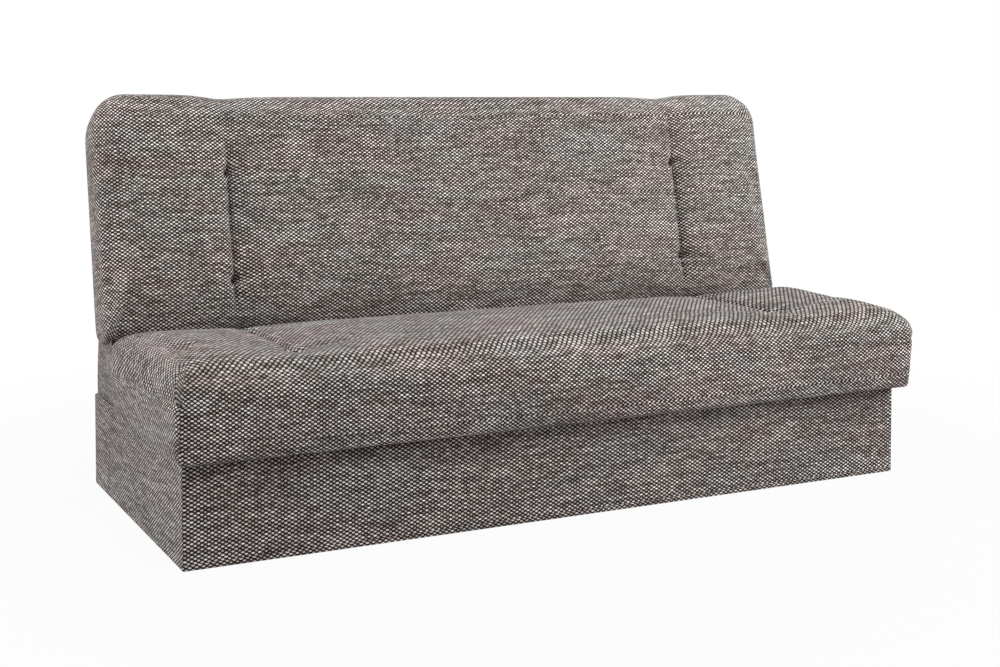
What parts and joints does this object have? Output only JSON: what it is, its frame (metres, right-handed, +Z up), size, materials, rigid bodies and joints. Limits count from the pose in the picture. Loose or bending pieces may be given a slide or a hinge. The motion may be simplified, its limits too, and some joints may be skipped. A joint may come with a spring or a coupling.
{
  "type": "sofa bed",
  "caption": "Click clack sofa bed: tufted fabric seat and back hinged on one line over a fabric-covered bedding chest.",
  "frame": {"origin": "on the floor under the middle of the sofa's bounding box", "axes": "+X along the sofa to the right as seen from the front, +Y to the rear, +Z up"},
  "size_m": [1.9258, 0.8677, 0.9745],
  "materials": {
    "melange_fabric": "chunky basket weave, matt",
    "raw_timber": "planed, unfinished",
    "chipboard": "raw particle board",
    "hardboard": "smooth hardboard",
    "zinc_steel": "zinc plated",
    "black_plastic": "matt"
  },
  "bodies": {
    "chest": {"chest_centre_divider": "chipboard", "chest_corner_block_front_left": "raw_timber", "chest_corner_block_front_right": "raw_timber", "chest_corner_block_rear_left": "raw_timber", "chest_corner_block_rear_right": "raw_timber", "chest_cover": "melange_fabric", "chest_floor_panel": "hardboard", "chest_front_board": "chipboard", "chest_left_board": "chipboard", "chest_rear_board": "chipboard", "chest_right_board": "chipboard", "glide_front_left": "black_plastic", "glide_front_middle": "black_plastic", "glide_front_right": "black_plastic", "glide_rear_left": "black_plastic", "glide_rear_middle": "black_plastic", "glide_rear_right": "black_plastic", "hinge_bracket_left": "zinc_steel", "hinge_bracket_right": "zinc_steel", "pivot_bolt_left": "zinc_steel", "pivot_bolt_right": "zinc_steel", "pivot_nut_left": "zinc_steel", "pivot_nut_right": "zinc_steel", "rear_skirt": "melange_fabric"},
    "seat": {"seat_arm_left": "zinc_steel", "seat_arm_right": "zinc_steel", "seat_cross_rail_left": "raw_timber", "seat_cross_rail_right": "raw_timber", "seat_cushion": "melange_fabric", "seat_deck": "hardboard", "seat_front_rail": "raw_timber", "seat_left_rail": "raw_timber", "seat_rear_rail": "raw_timber", "seat_right_rail": "raw_timber"},
    "back": {"back_arm_left": "zinc_steel", "back_arm_right": "zinc_steel", "back_bottom_rail": "raw_timber", "back_cross_rail_left": "raw_timber", "back_cross_rail_right": "raw_timber", "back_cushion": "melange_fabric", "back_deck": "hardboard", "back_left_rail": "raw_timber", "back_rear_panel": "melange_fabric", "back_right_rail": "raw_timber", "back_top_rail": "raw_timber"},
    "pawl_left": {"pawl_left": "zinc_steel"},
    "pawl_right": {"pawl_right": "zinc_steel"}
  },
  "joints": [
    {"name": "seat_lift", "type": "hinge", "parent": "chest", "child": "seat", "pos_m": [0, 0.16779, 0.3853], "axis": [-1, 0, 0], "range_deg": [0, 39]},
    {"name": "back_fold", "type": "hinge", "parent": "chest", "child": "back", "pos_m": [0, 0.16779, 0.3853], "axis": [-1, 0, 0], "range_deg": [0, 78], "deforming": ["rear_skirt"]},
    {"name": "pawl_turn_left", "type": "hinge", "parent": "seat", "child": "pawl_left", "pos_m": [-0.8964, 0.11579, 0.3253], "axis": [-1, 0, 0], "range_deg": [0, 14]},
    {"name": "pawl_turn_right", "type": "hinge", "parent": "seat", "child": "pawl_right", "pos_m": [0.8964, 0.11579, 0.3253], "axis": [-1, 0, 0], "range_deg": [0, 14]}
  ]
}
